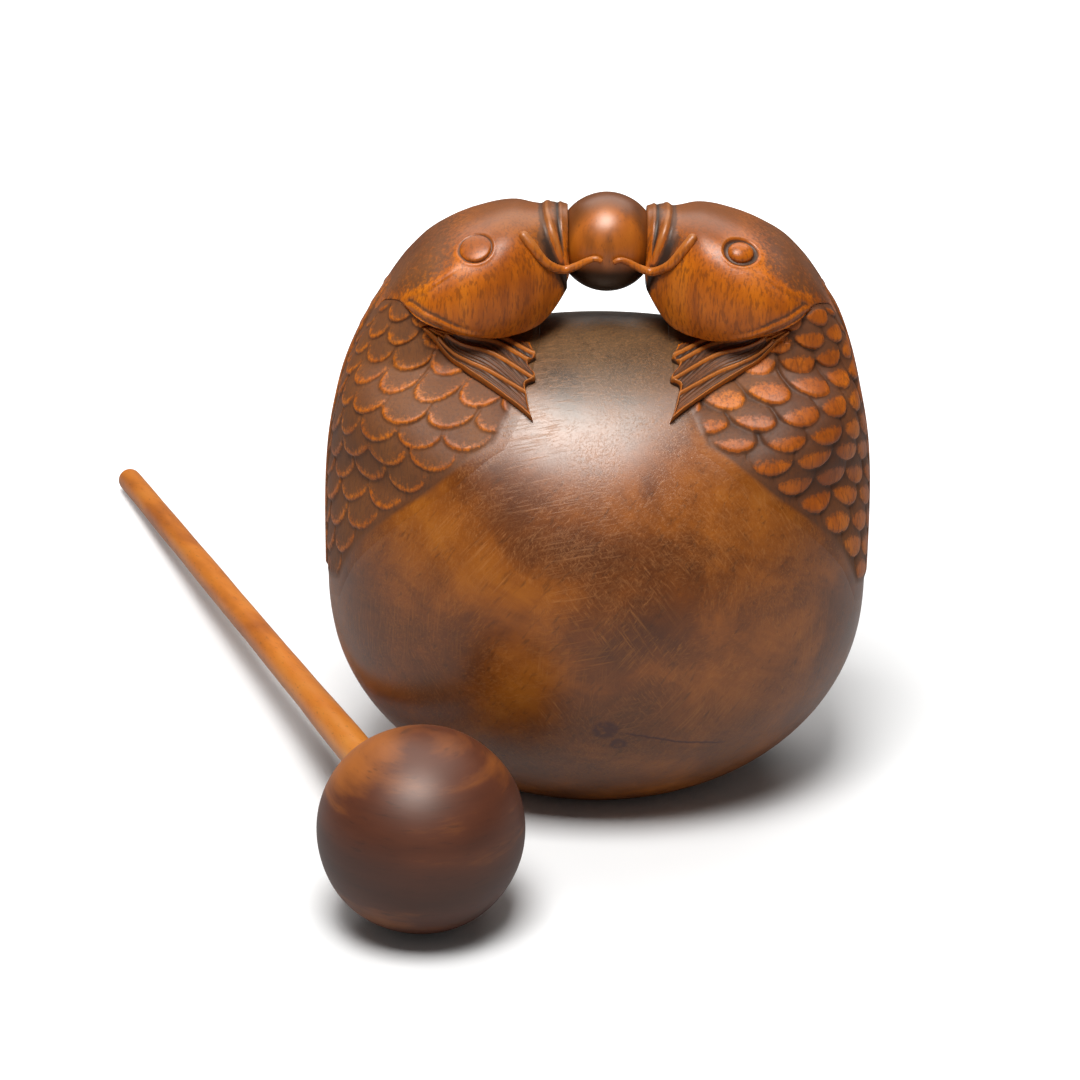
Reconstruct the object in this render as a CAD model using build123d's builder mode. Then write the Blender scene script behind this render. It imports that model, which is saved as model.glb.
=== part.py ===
from build123d import *
import math
import os

# Wooden fish drum: a hollow sound box, two carved fish that bite one pearl, and a loose mallet.
# Millimetres, +Z up, +X to the right of the player, the player at -Y.
# The origin is on the table, under the middle of the drum.

# Sound box
drum_width = 147.6          # across the belly
drum_depth = 120.0          # front to back of the belly
box_height = 130.8          # table to the smooth ridge under the pearl
belly_height = 57.0         # where the belly is widest
rest_width = 65.0           # the flat that the drum stands on
ridge_half_thickness = 4.0  # half the flat along the top of the ridge
wall = 15.0
slit_width = 10.0
slit_end_bore = 20.0
slit_end_height = 44.0

# The form: how full the curves of the outline are
flank_overrun = 26.2        # how far above the ridge the flanks would close
flank_fullness = 3.6
belly_fullness = 2.2
slope_fullness = 0.6
section_count = 13

# Fish
scale_relief = 0.6          # how far the scaled flank stands proud of the belly
ridge_relief = 0.8          # how far the back ridge stands proud of the scales
ridge_width = 6.0
fin_relief = 2.0            # how far the breast fin stands proud of the scales
seat_depth = 8.0            # how deep a fish is let into the sound box
neck_reach = 16.0           # middle plane to the inner side of the neck
neck_drop = 18.5            # ridge to the foot of the neck
fin_root = 48.0             # middle plane to the outer end of the breast fin
fin_front = 17.2            # middle plane to the tip of the breast fin
fin_belly = 4.0             # how far the fin's lower edge bulges
tail_height = 59.8
flank_hollow = 4.5          # how far the flank's lower edge curves in
nape_reach = 4.6            # from the outside of the ridge to the end of the nape

# Flank of a fish: the drum's form, filled out to a square shoulder towards the nape
shoulder_overrun = 40.2     # how far above the ridge the outline over the fish would close
shoulder_fullness = 3.0
shoulder_squareness = 5.0   # of a level section at the ridge, where 2 is an ellipse
shoulder_start = 0.47       # where the flank starts to square up, of the rise from belly to ridge
flank_foot = 10.0           # how far the form runs on below the tail, before it is cut
flank_top = 15.0            # how far the form runs on above the ridge, inside the head
flank_sections = 10
flank_points = 36           # round each section
nape_depth = 0.96           # half the flank's depth under the head, of the cheek's
nape_thinning = 0.7         # how much of that the flank loses inside the head

# Heads: heights are counted from the ridge
lip_reach = 10.5
lip_thickness = 1.6
chin_reach = 15.0
chin_height = 6.2
brow_reach = 24.0
brow_height = 31.1
cheek_half_depth = 25.0
crown_height = 29.1
eye_reach = 33.5
eye_height = 24.0
gill_reach = 47.0
gill_height = 22.3
jaw_depth = 8.5             # how far the jaws sink below the ridge

# How a head thins out from its cheeks, as shares of its full size
muzzle_rise = 0.97          # top of the muzzle, of the brow's height
muzzle_depth = 0.56         # of the cheek's depth
brow_depth = 0.84           # of the cheek's depth
throat_rise = 0.4           # how much of the jaw's sink is made up towards the muzzle
nape_middle = 0.5           # of the way from the gill to the end of the nape
nape_middle_rise = 0.6      # of the gill's height
nape_back = 0.8             # of the way from the gill to the end of the nape
nape_back_rise = 0.22       # of the gill's height
nape_end_depth = 0.2        # of the cheek's depth

# Pearl
pearl_diameter = 26.2
finger_gap = 7.8            # ridge to the underside of the pearl
spigot_diameter = 8.0
spigot_length = 9.0
end_clearance = 0.3         # left free at the bottom of every blind hole

# Eyes
eye_diameter = 10.0
eye_peg_length = 6.0
eye_dome = 1.6
eye_shoulder = 0.84         # width of the dome half way up, of the eye's diameter
eye_crown = 0.4             # width of the dome's flat top, of the eye's diameter

# Dowels
dowel_diameter = 6.0
dowel_in_box = 4.5
dowel_in_fish = 5.0
lower_dowel_height = 78.0
upper_dowel_height = 100.0

# Mallet
ball_diameter = 52.3
stick_neck_diameter = 9.8
stick_diameter = 8.4
stick_end_diameter = 8.0
stick_length = 324.0
stick_in_ball = 24.0
stick_flare = 80.0          # length over which the stick thickens towards the ball
mallet_aside = 44.75        # ball centre to the left of the drum's middle
mallet_ahead = 8.0          # from the front of the belly to the back of the ball
mallet_heading = 110.8      # direction of the stick seen from above, from +X

# Worked out
half_drum = drum_width / 2
pearl_radius = pearl_diameter / 2
ball_radius = ball_diameter / 2
pearl_height = box_height + finger_gap + pearl_radius
belly_span = belly_height / (1 - (rest_width / drum_width) ** 2) ** (1 / belly_fullness)
ridge_rise = box_height - belly_height
flank_rise = ridge_rise + flank_overrun
ridge_share = (2 * ridge_half_thickness / drum_depth) ** (1 / slope_fullness)
slope_rise = ridge_rise / math.sqrt(1 - ridge_share)
shoulder_rise = ridge_rise + shoulder_overrun
both_ways = (-1, 1)


def lower_share(height):
    return math.sqrt(1 - ((belly_height - height) / belly_span) ** belly_fullness)


def half_width(height):
    """Half the drum's width at a height above the table."""
    if height < belly_height:
        return half_drum * lower_share(height)
    return half_drum * math.sqrt(1 - ((height - belly_height) / flank_rise) ** flank_fullness)


def half_depth(height):
    """Half the drum's depth at a height above the table."""
    if height < belly_height:
        return drum_depth / 2 * lower_share(height)
    return drum_depth / 2 * (1 - ((height - belly_height) / slope_rise) ** 2) ** slope_fullness


def egg(grow, low, high):
    """The drum's rounded form between two heights, grown outwards or shrunk inwards."""
    with BuildPart() as form:
        for step in range(section_count):
            share = (1 - math.cos(math.pi * step / (section_count - 1))) / 2
            level = low + (high - low) * share
            with BuildSketch(Plane.XY.offset(level)):
                Ellipse(half_depth(level) + grow, half_width(level) + grow, rotation=90)
        loft()
    return form.part


def soft_share(low, high, value):
    """Rises softly from 0 to 1 between two values."""
    share = min(max((value - low) / (high - low), 0), 1)
    return share * share * (3 - 2 * share)


def shoulder_width(height):
    """Half the width over the two fish at a height above the table."""
    if height < belly_height:
        return half_width(height)
    return half_drum * math.sqrt(1 - ((height - belly_height) / shoulder_rise) ** shoulder_fullness)


def flank_edge(height, grow):
    """Points round both flanks at a height, anticlockwise from the outside of the right one."""
    level = min(height, box_height)
    bare_width = half_width(level) + grow
    bare_depth = half_depth(level) + grow
    inside_head = (height - level) / flank_top
    nape_half = nape_depth * cheek_half_depth * math.sqrt(1 - nape_thinning * inside_head**2)
    reach = shoulder_width(height) + grow
    depth = max(half_depth(level), nape_half) + grow
    start = belly_height + shoulder_start * ridge_rise
    power = 2 + (shoulder_squareness - 2) * soft_share(start, box_height, height)
    points = []
    for step in range(flank_points):
        turn = 2 * math.pi * step / flank_points
        sum_of_powers = abs(math.cos(turn) / reach) ** power + abs(math.sin(turn) / depth) ** power
        ray = sum_of_powers ** (-1 / power)
        out = ray * math.cos(turn)
        full = ray * math.sin(turn)
        bare = math.copysign(bare_depth * math.sqrt(max(1 - (out / bare_width) ** 2, 0)), full)
        points.append((out, bare + (full - bare) * soft_share(brow_reach, gill_reach, abs(out))))
    return points


def flanks(grow):
    """The form of both flanks, grown outwards, before it is cut to the outline of a fish."""
    low = tail_height - flank_foot
    high = box_height + flank_top
    with BuildPart() as form:
        for step in range(flank_sections):
            level = low + (high - low) * step / (flank_sections - 1)
            with BuildSketch(Plane.XY.offset(level)):
                with BuildLine():
                    Spline(*flank_edge(level, grow), periodic=True)
                make_face()
        loft()
    return form.part


# The core is what is left of the sound box under the fish
core = egg(-seat_depth, 0, box_height - seat_depth)


def seat(side):
    """The space on one shoulder that a fish fills: outside the core, above the flank's lower edge."""
    neck_foot = (side * neck_reach, box_height - neck_drop)
    neck_top = (side * neck_reach, 2 * box_height)
    tail = (side * half_width(tail_height), tail_height)
    outside = (side * drum_width, tail_height)
    outside_top = (side * drum_width, 2 * box_height)
    with BuildPart() as space:
        with BuildSketch(Plane.XZ):
            with BuildLine():
                Line(neck_top, neck_foot)
                SagittaArc(neck_foot, tail, side * flank_hollow)
                Polyline(tail, outside, outside_top, neck_top)
            make_face()
        extrude(amount=drum_depth, both=True)
        add(core, mode=Mode.SUBTRACT)
    return space.part


def dowel_rows():
    """Each dowel's side and height."""
    return [(side, height) for side in both_ways for height in (lower_dowel_height, upper_dowel_height)]


def dowel(side, height, spare):
    """One dowel across the seam between a fish and the sound box, with spare length at both ends."""
    seam = half_width(height) - seat_depth
    with BuildPart() as pin:
        with BuildSketch(Plane.YZ.offset(side * (seam - dowel_in_box - spare))):
            with Locations((0, height)):
                Circle(dowel_diameter / 2)
        extrude(amount=side * (dowel_in_box + dowel_in_fish + 2 * spare))
    return pin.part


def head_stations():
    """Each section of a head: distance out, height of its top and bottom, half its depth."""
    lip_half = math.sqrt(pearl_radius**2 - lip_reach**2) + lip_thickness
    nape = half_width(box_height) + nape_reach
    jaw = box_height - jaw_depth
    throat = jaw + throat_rise * jaw_depth
    nape_run = nape - gill_reach
    middle_top = box_height + nape_middle_rise * gill_height
    back_top = box_height + nape_back_rise * gill_height
    middle_jaw = jaw - nape_middle * jaw_depth
    back_jaw = jaw - nape_back * jaw_depth
    muzzle_half = muzzle_depth * cheek_half_depth
    brow_half = brow_depth * cheek_half_depth
    muzzle_top = box_height + muzzle_rise * brow_height
    return [
        (lip_reach, pearl_height + lip_half, pearl_height - lip_half, lip_half + lip_thickness),
        (chin_reach, muzzle_top, box_height + chin_height, muzzle_half),
        (brow_reach, box_height + brow_height, throat, brow_half),
        (eye_reach, box_height + crown_height, jaw, cheek_half_depth),
        (gill_reach, box_height + gill_height, jaw, cheek_half_depth),
        (gill_reach + nape_middle * nape_run, middle_top, middle_jaw, brow_half),
        (gill_reach + nape_back * nape_run, back_top, back_jaw, muzzle_half),
        (nape, throat, back_jaw, nape_end_depth * cheek_half_depth),
    ]


def eye_frame(side, face):
    """The plane of one eye: on the cheek, facing straight out of it."""
    _, top, bottom, depth = head_stations()[3]
    half_height = (top - bottom) / 2
    above_middle = box_height + eye_height - (top + bottom) / 2
    out = depth * math.sqrt(1 - (above_middle / half_height) ** 2)
    normal = Vector(0, face * out / depth**2, above_middle / half_height**2)
    return Plane((side * eye_reach, face * out, box_height + eye_height), x_dir=(1, 0, 0), z_dir=normal)


def back_ridge():
    """The raised band along the outline over both fish, before it is cut to the flank of one."""
    with BuildPart() as band:
        add(flanks(scale_relief + ridge_relief))
        with BuildSketch(Plane.XY):
            Rectangle(2 * drum_width, ridge_width)
        extrude(amount=2 * box_height, mode=Mode.INTERSECT)
    return band.part


def breast_fin(side):
    """The fin that spreads under the cheek, on both faces of the drum, before it is cut to the flank."""
    tip = (side * fin_front, box_height - neck_drop)
    front = (side * fin_front, box_height)
    root = (side * fin_root, box_height)
    with BuildPart() as plate:
        add(flanks(scale_relief + fin_relief))
        with BuildSketch(Plane.XZ):
            with BuildLine():
                Polyline(root, front, tip)
                SagittaArc(tip, root, side * fin_belly)
            make_face()
        extrude(amount=drum_depth, both=True, mode=Mode.INTERSECT)
    return plate.part


def spigot_hole(side):
    """The blind hole in a mouth that takes one spigot of the pearl."""
    with BuildPart() as hole:
        with BuildSketch(Plane.YZ):
            with Locations((0, pearl_height)):
                Circle(spigot_diameter / 2)
        extrude(amount=side * (pearl_radius + spigot_length + end_clearance))
    return hole.part


def fish(side):
    """One carved fish: the scaled flank let into the shoulder, and the head that bites the pearl."""
    with BuildPart() as body:
        add(flanks(scale_relief))
        add(back_ridge())
        add(breast_fin(side))
        add(seat(side), mode=Mode.INTERSECT)
        for out, top, bottom, depth in head_stations():
            with BuildSketch(Plane.YZ.offset(side * out)):
                with Locations((0, (top + bottom) / 2)):
                    Ellipse(depth, (top - bottom) / 2)
        loft()
        add(core, mode=Mode.SUBTRACT)
        with Locations((0, 0, pearl_height)):
            Sphere(pearl_radius, mode=Mode.SUBTRACT)
        add(spigot_hole(side), mode=Mode.SUBTRACT)
        for face in both_ways:
            with BuildSketch(eye_frame(side, face)):
                Circle(eye_diameter / 2)
            extrude(amount=-eye_peg_length - end_clearance, mode=Mode.SUBTRACT)
            with BuildSketch(eye_frame(side, face)):
                Circle(eye_diameter / 2)
            extrude(amount=eye_dome, mode=Mode.SUBTRACT)
        for row_side, height in dowel_rows():
            if row_side == side:
                add(dowel(side, height, end_clearance), mode=Mode.SUBTRACT)
    return body.part


os.makedirs("parts", exist_ok=True)

# Sound box: hollow, with the slit along its underside that ends in a round hole on each side
with BuildPart() as sound_box:
    add(egg(0, 0, box_height))
    for side in both_ways:
        add(seat(side), mode=Mode.SUBTRACT)
    for side, height in dowel_rows():
        add(dowel(side, height, end_clearance), mode=Mode.SUBTRACT)
    add(egg(-wall, wall, box_height - wall), mode=Mode.SUBTRACT)
    with BuildSketch(Plane.XY):
        Rectangle(2 * drum_width, slit_width)
    extrude(amount=slit_end_height, mode=Mode.SUBTRACT)
    with BuildSketch(Plane.YZ):
        with Locations((0, slit_end_height)):
            Circle(slit_end_bore / 2)
    extrude(amount=drum_width, both=True, mode=Mode.SUBTRACT)
sound_box.part.label = "sound_box"
export_step(sound_box.part, "parts/sound_box.step")

# Fish: one over each shoulder, mirror images of each other
with BuildPart() as left_fish:
    add(fish(-1))
left_fish.part.label = "left_fish"
export_step(left_fish.part, "parts/left_fish.step")

with BuildPart() as right_fish:
    mirror(left_fish.part, about=Plane.YZ)
right_fish.part.label = "right_fish"
export_step(right_fish.part, "parts/right_fish.step")

# Pearl: turned with a spigot on each side
with BuildPart() as pearl:
    with Locations((0, 0, pearl_height)):
        Sphere(pearl_radius)
    with BuildSketch(Plane.YZ):
        with Locations((0, pearl_height)):
            Circle(spigot_diameter / 2)
    extrude(amount=pearl_radius + spigot_length, both=True)
pearl.part.label = "pearl"
export_step(pearl.part, "parts/pearl.step")

# Eyes: four domed pegs, set straight into the cheeks
with BuildPart() as fish_eyes:
    for side in both_ways:
        for face in both_ways:
            with BuildSketch(eye_frame(side, face)):
                Circle(eye_diameter / 2)
            extrude(amount=-eye_peg_length)
            with BuildSketch(eye_frame(side, face)):
                Circle(eye_diameter / 2)
            with BuildSketch(eye_frame(side, face).offset(eye_dome / 2)):
                Circle(eye_shoulder * eye_diameter / 2)
            with BuildSketch(eye_frame(side, face).offset(eye_dome)):
                Circle(eye_crown * eye_diameter / 2)
            loft()
fish_eyes.part.label = "fish_eyes"
export_step(fish_eyes.part, "parts/fish_eyes.step")

# Dowels: two for each fish
with BuildPart() as fish_dowels:
    for side, height in dowel_rows():
        add(dowel(side, height, 0))
fish_dowels.part.label = "fish_dowels"
export_step(fish_dowels.part, "parts/fish_dowels.step")

# Mallet: it lies on the table on its ball and the end of its stick
ball_centre = Vector(-mallet_aside, -(drum_depth / 2 + mallet_ahead + ball_radius), ball_radius)
end_distance = stick_length + ball_radius - stick_in_ball
mallet_dip = math.degrees(math.asin((ball_radius - stick_end_diameter / 2) / end_distance))
level_direction = Vector(1, 0, 0).rotate(Axis.Z, mallet_heading)
across = Vector(0, 0, 1).cross(level_direction)
stick_direction = level_direction.rotate(Axis((0, 0, 0), across), mallet_dip)
mallet_profile = Plane(ball_centre, x_dir=across, z_dir=across.cross(stick_direction))
mallet_axis = Axis(ball_centre, stick_direction)
stick_start = ball_radius - stick_in_ball

with BuildPart() as mallet_stick:
    with BuildSketch(mallet_profile):
        with BuildLine():
            Polyline(
                (0, end_distance),
                (0, stick_start),
                (stick_neck_diameter / 2, stick_start),
                (stick_neck_diameter / 2, ball_radius),
            )
            Spline(
                (stick_neck_diameter / 2, ball_radius),
                (stick_diameter / 2, ball_radius + stick_flare),
                (stick_end_diameter / 2, end_distance - stick_end_diameter / 4),
            )
            Line(
                (stick_end_diameter / 2, end_distance - stick_end_diameter / 4),
                (stick_end_diameter / 4, end_distance),
            )
            Line((stick_end_diameter / 4, end_distance), (0, end_distance))
        make_face()
    revolve(axis=mallet_axis)
mallet_stick.part.label = "mallet_stick"
export_step(mallet_stick.part, "parts/mallet_stick.step")

with BuildPart() as mallet_head:
    with Locations(ball_centre):
        Sphere(ball_radius)
    with BuildSketch(mallet_profile):
        with BuildLine():
            Polyline(
                (0, stick_start - end_clearance),
                (stick_neck_diameter / 2, stick_start - end_clearance),
                (stick_neck_diameter / 2, ball_diameter),
                (0, ball_diameter),
                close=True,
            )
        make_face()
    revolve(axis=mallet_axis, mode=Mode.SUBTRACT)
mallet_head.part.label = "mallet_head"
export_step(mallet_head.part, "parts/mallet_head.step")
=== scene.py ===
import math

import bpy
import numpy as np
from mathutils import Matrix, Vector


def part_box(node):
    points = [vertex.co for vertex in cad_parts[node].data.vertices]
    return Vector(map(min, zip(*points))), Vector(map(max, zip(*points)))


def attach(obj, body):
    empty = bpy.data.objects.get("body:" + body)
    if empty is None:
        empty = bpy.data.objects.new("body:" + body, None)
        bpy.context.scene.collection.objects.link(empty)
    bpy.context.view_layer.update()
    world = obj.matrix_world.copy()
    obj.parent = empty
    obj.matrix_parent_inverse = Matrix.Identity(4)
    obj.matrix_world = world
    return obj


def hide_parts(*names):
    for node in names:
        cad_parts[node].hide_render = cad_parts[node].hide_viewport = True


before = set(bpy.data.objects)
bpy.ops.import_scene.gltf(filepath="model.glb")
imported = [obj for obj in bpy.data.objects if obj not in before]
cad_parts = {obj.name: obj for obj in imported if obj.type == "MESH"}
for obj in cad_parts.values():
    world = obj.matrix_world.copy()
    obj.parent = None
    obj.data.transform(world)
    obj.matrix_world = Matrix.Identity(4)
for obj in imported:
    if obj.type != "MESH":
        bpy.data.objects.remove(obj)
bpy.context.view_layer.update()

# Wooden fish drum with its mallet. Shapes are worked out in millimetres in the CAD frame:
# +X to the right, -Y towards the player, +Z up, and turned into metres when a mesh is made.
MM = 0.001

# Camera, at the photograph's viewpoint
camera_place = (-15.57, -740.28, 365.47)
camera_tilt = 68.0  # degrees from looking straight down
camera_roll = 0.5  # degrees
camera_lens = 96.67
camera_sensor = 36.0

# Sound box: the same form as its solid
half_drum = 73.8
half_drum_depth = 60.0
belly_height = 57.0
rest_half_width = 32.5
ridge_height = 130.8
ridge_half_thickness = 4.0
flank_overrun = 26.2
flank_fullness = 3.6
belly_fullness = 2.2
slope_fullness = 0.6
wall = 15.0
slit_width = 10.0
slit_end_bore = 20.0
slit_end_height = 44.0
hand_unevenness = 0.12
ridge_crown = 0.8  # how far the ridge drops towards the fish
crown_reach = 16.0  # at so far from the middle
bare_heights = (114, 126)  # where the sound box leaves the flank's form, under the fish
belly_span = belly_height / (1 - (rest_half_width / half_drum) ** 2) ** (1 / belly_fullness)
ridge_rise = ridge_height - belly_height
flank_rise = ridge_rise + flank_overrun
ridge_share = (ridge_half_thickness / half_drum_depth) ** (1 / slope_fullness)
slope_rise = ridge_rise / math.sqrt(1 - ridge_share)

# Flank of a fish: the drum's form, filled out to a square shoulder towards the nape
shoulder_overrun = 40.2
shoulder_fullness = 3.0
shoulder_start = 92.0
shoulder_full = 130.0
nape_squareness = 5.0
shoulder_heights = (95, 118)  # where the outline over the fish leaves the drum's
nape_half_depth = 23.6
nape_easing = 1.6
nape_heights = (95, 115)  # where the flank eases into the nape
fill_start = 24.0  # distance from the middle where the filling out begins
fill_full = 50.0
flank_inside = 17.0  # the carved shell ends so far from the middle
flank_thickness = 4.5
tail_height = 60.0
ridge_half_width = 3.0
ridge_relief = 0.8
ridge_start = 148.0  # the ridge of the back begins on the nape
ridge_taper = 16.0  # and reaches its full width so far below
shoulder_rise = ridge_rise + shoulder_overrun

# Scales: the lowest points of the scales of row 0 lie at row_height
row_height = 111.9
row_pitch = 5.2
row_stretch = 0.2  # how much the pitch grows from row to row downwards
upper_stretch = 0.05  # and upwards
row_rise = 0.09  # how much the upper rows rise towards the back ridge
rise_heights = (104, 116)
row_droop = 9.5  # how far a row hangs down towards the back ridge
droop_reach = 30.0
droop_heights = (92, 124)
scale_pitch = 13.0
narrow_from = 38.0  # nearer to the back ridge than this the upper scales get narrower
narrow_rate = 1 / 60
narrow_heights = (98, 112)
column_rows = [-6, -4, -3, -2, -1, 0, 1, 2, 4, 6, 9]
# the place of one scale in each of these rows, from the back ridge
column_places = [27, 28.5, 29.2, 30, 37.2, 40, 40.8, 39.2, 38, 36.5, 34]
scale_half_width = 6.6
scale_arc = 0.86  # height of the rounded end, in rows
scale_slope = 0.58  # how far a scale sinks under the next, for each row
scale_tip = 0.45  # how far its tip stands out of the belly's surface
scale_dome = 0.55  # how far a domed scale swells
scale_rim = 0.1  # height of a flat scale's rim
scale_step = 0.35  # drop at a scale's edge
scale_edge = 67.0  # how far from the back ridge row 0 reaches
scale_edge_step = -7.3  # and how much farther each row below it
edge_slack = 4.0  # the carved field ends so far outside the scales
edge_lean = 0.68  # from a distance along a row to one straight off the edge
last_row = 6.9
cut_reach = 23.8  # the scales next to the fin end at a straight cut from here
cut_height = 115.6
cut_slope = 0.57
margin = 2.0  # strip of plain belly round the scales that belongs to the carving
margin_rise = 0.03
margin_sink = 0.01  # the carving sinks by so much for each square millimetre outside it
seat_sink = 2.5  # how far the sound box lies under the carving

# Worn places and painted light and shade stored on the carving: above 0 worn and bright, with painted
# highlights among them; below 0 dull and then grimy, with painted shade in hollows and under overlapping
# edges
ground_tone = -0.24  # between the scales and round them
plate_tone = -0.2  # a flat scale
rim_tone = 0.05  # its rim is lighter by so much
edge_tone = 0.075  # and the strip inside its rim by so much
# Painted shade on the upper part of a domed scale, under the edge of the scale above, and painted light
# on its lower part
dome_painted_shade = -0.235  # the upper part of a domed scale
dome_painted_light = 0.28  # its lower part is lighter by so much
belly_side_dark = 0.09  # domed scales towards the belly are darker by so much
ridge_tone = -0.085
nape_ridge_tone = -0.14
fin_tone = -0.32
nape_tone = -0.15

# Head: sections at these distances from the middle
head_reach = [9.3, 11.2, 13.5, 18, 24, 33.5, 42, 47, 52, 56, 60, 64, 67]
head_top = [160.9, 161.6, 161.8, 161.2, 161.9, 159.9, 156.3, 153.1, 148.4, 143.9, 137.6, 129.6, 121]
head_low = [134, 131.5, 129, 125.5, 123, 121.5, 121, 121, 120, 118, 117, 116, 115]
head_depth = [10, 11.5, 13.2, 17, 21.3, 24.6, 25.2, 25, 23.2, 20.5, 15.5, 10, 5]
head_squareness = 2.3
gill_reach = [
    9.3, 11.2, 13.5, 16, 19.5, 23.8, 28.5, 33.3, 39.2, 44,
    48, 50, 52.4, 54, 56, 58.7, 61, 64, 67,
]
gill_height = [
    144, 140.4, 136.6, 133.7, 131.8, 131.1, 130.9, 131.8, 133.2, 135.2,
    137, 137.9, 139.4, 140.1, 139.9, 138.1, 134.6, 129.6, 122.5,
]
gill_undercut = 1.5
crease_reach = 53.6  # the crease above the cheek starts here at the gill
crease_height = 140.5
crease_slope = 0.66
nape_reach = 61.2  # where the head runs out on the back ridge
mouth_reach = 10.4  # where the lips end on the pearl
eye_reach = 34.4
eye_height = 154.9
# radii and depth of the groove round an eye, and its dome
left_eye = {
    "inner": 4.2, "outer": 4.5, "depth": 0.45, "stretch": 1.0,
    "dome": 4.15, "rise": 0.75, "sunk": 0.3,
}
right_eye = {
    "inner": 3.3, "outer": 4.7, "depth": 0.8, "stretch": 1.1,
    "dome": 3.4, "rise": 1.7, "sunk": 0.75,
}
right_drop = 0.3  # the right head lies so much lower
lean = 1.4  # the heads and the pearl sit so far to the right of the drum's middle

# Breast fin: distance from the middle and height of its lower edge and of its upper edge
fin_edges = [
    (48.1, 134.4, 46.0, 134.6),
    (41.3, 125.9, 41.0, 132.0),
    (35.9, 122.3, 36.1, 129.8),
    (30.5, 119.7, 27.6, 128.4),
    (22.0, 115.7, 22.0, 127.9),
    (17.5, 113.0, 17.5, 127.6),
]
# the rays, as shares of the fin's width at the root and at the tips
fin_rays = [(0.02, 0.02), (0.25, 0.3), (0.64, 0.54), (0.88, 0.73), (1.0, 0.84)]
# the fin's front from the lowest tip upwards, and the share of the length missing there
fin_front = [0, 0.1, 0.27, 0.44, 0.51, 0.55, 0.62, 0.68, 0.73, 0.78, 0.84, 0.9, 1.0]
fin_gap = [0, 0.043, 0.088, 0.098, 0.035, 0, 0.01, 0.085, 0.1, 0.05, 0.01, 0.05, 0.09]
fin_length = 42.0
fin_thickness = 3.0
fin_relief = 1.4
ray_half_width = 0.42
ray_relief = 1.2

# Barbel: a whisker that runs from the cheek round the mouth onto the pearl
barbel_points = [
    (22.8, -13.9, 157.9),
    (19.6, -15.6, 154.4),
    (16.0, -15.1, 150.0),
    (11.9, -12.9, 147.6),
    (8.6, -12.8, 148.4),
    (5.1, -13.5, 150.3),
    (3.0, -13.9, 150.9),
    (1.4, -14.0, 150.1),
]
barbel_radius = 1.5

# Stick: radius at these distances from the ball's centre
stick_places = [0, 26, 88, 127, 192, 277]
stick_radii = [4.9, 4.9, 4.5, 4.25, 4.15, 4.0]
stick_end_radius = 3.95
stick_rounding = 4.0

# Light: lamps with their place, aim and size in metres and power in watts
softbox = {"place": (-0.1, -0.47, 1.16), "aim": (0, -0.03, 0.1), "size": (0.54, 0.54), "power": 17.5}
back_light = {"place": (0.05, 0.65, 1.15), "aim": (0, 0, 0.08), "size": (1.5, 0.9), "power": 9}
ambient_light = 0.1
table_colour = (0.88, 0.88, 0.875)
table_bounce = (0.42, 0.42, 0.42)
table_half_width = 4.0

# Colours, from dark to bright where there are several
belly_places = (0.0, 0.45, 0.75, 1.0)
belly_tones = [(0.06, 0.013, 0.002), (0.165, 0.04, 0.003), (0.29, 0.077, 0.005), (0.4, 0.12, 0.009)]
belly_top_tones = [(0.055, 0.032, 0.017), (0.12, 0.068, 0.031)]
scrape_colour = (0.5, 0.19, 0.04)
pore_colour = (0.03, 0.01, 0.003)
knot_colour = (0.06, 0.007, 0.008)
crack_colour = (0.06, 0.004, 0.004)
carving_tones = [(0.3, 0.062, 0.002), (0.5, 0.115, 0.002), (0.62, 0.165, 0.005)]
fleck_colour = (0.17, 0.04, 0.003)
head_top_colour = (0.16, 0.058, 0.017)
# The dull and dirt colours below also paint shade in the carving's hollows, and the worn colour also
# paints highlights on its crests
dulled_and_shaded_tones = [(0.07, 0.026, 0.011), (0.12, 0.048, 0.018)]
worn_and_lit_colour = (0.44, 0.15, 0.03)
grime_and_shade_colour = (0.02, 0.009, 0.005)
pearl_colours = [(0.05, 0.014, 0.002), (0.4, 0.1, 0.004), (0.5, 0.14, 0.008)]
mallet_colours = [(0.05, 0.009, 0.002), (0.1, 0.022, 0.005), (0.38, 0.11, 0.013)]
stick_colours = [(0.4, 0.1, 0.007), (0.62, 0.18, 0.012), (0.68, 0.25, 0.04)]
dowel_colours = [(0.35, 0.2, 0.09), (0.5, 0.31, 0.15), (0.6, 0.4, 0.2)]
specular_tint = (1, 0.92, 0.85, 1)
bump_depth = 0.12  # of the wood's fine relief


square = np.array([(-1, -1, 0), (1, -1, 0), (1, 1, 0), (-1, 1, 0)])


def smooth(low, high, value):
    """Rises softly from 0 to 1 between two values."""
    share = np.clip((value - low) / (high - low), 0, 1)
    return share * share * (3 - 2 * share)


def bump(value, centre, width):
    return np.exp(-(((value - centre) / width) ** 2))


def through(knots, values, at):
    """A smooth curve through a few points."""
    knots, values, at = (np.asarray(v, float) for v in (knots, values, at))
    slope = np.gradient(values, knots)
    k = np.clip(np.searchsorted(knots, at) - 1, 0, len(knots) - 2)
    run = knots[k + 1] - knots[k]
    t = np.clip((at - knots[k]) / run, 0, 1)
    return (
        (2 * t**3 - 3 * t**2 + 1) * values[k]
        + (t**3 - 2 * t**2 + t) * run * slope[k]
        + (3 * t**2 - 2 * t**3) * values[k + 1]
        + (t**3 - t**2) * run * slope[k + 1]
    )


def blurred(field, cells):
    """A field on a grid, softened over so many cells both ways."""
    reach = int(3 * cells)
    weights = np.exp(-0.5 * (np.arange(-reach, reach + 1) / cells) ** 2)
    weights /= weights.sum()
    for _ in range(2):
        padded = np.pad(field, ((reach, reach), (0, 0)), mode="edge")
        field = sum(w * padded[i : i + len(field)] for i, w in enumerate(weights)).T
    return field


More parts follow.
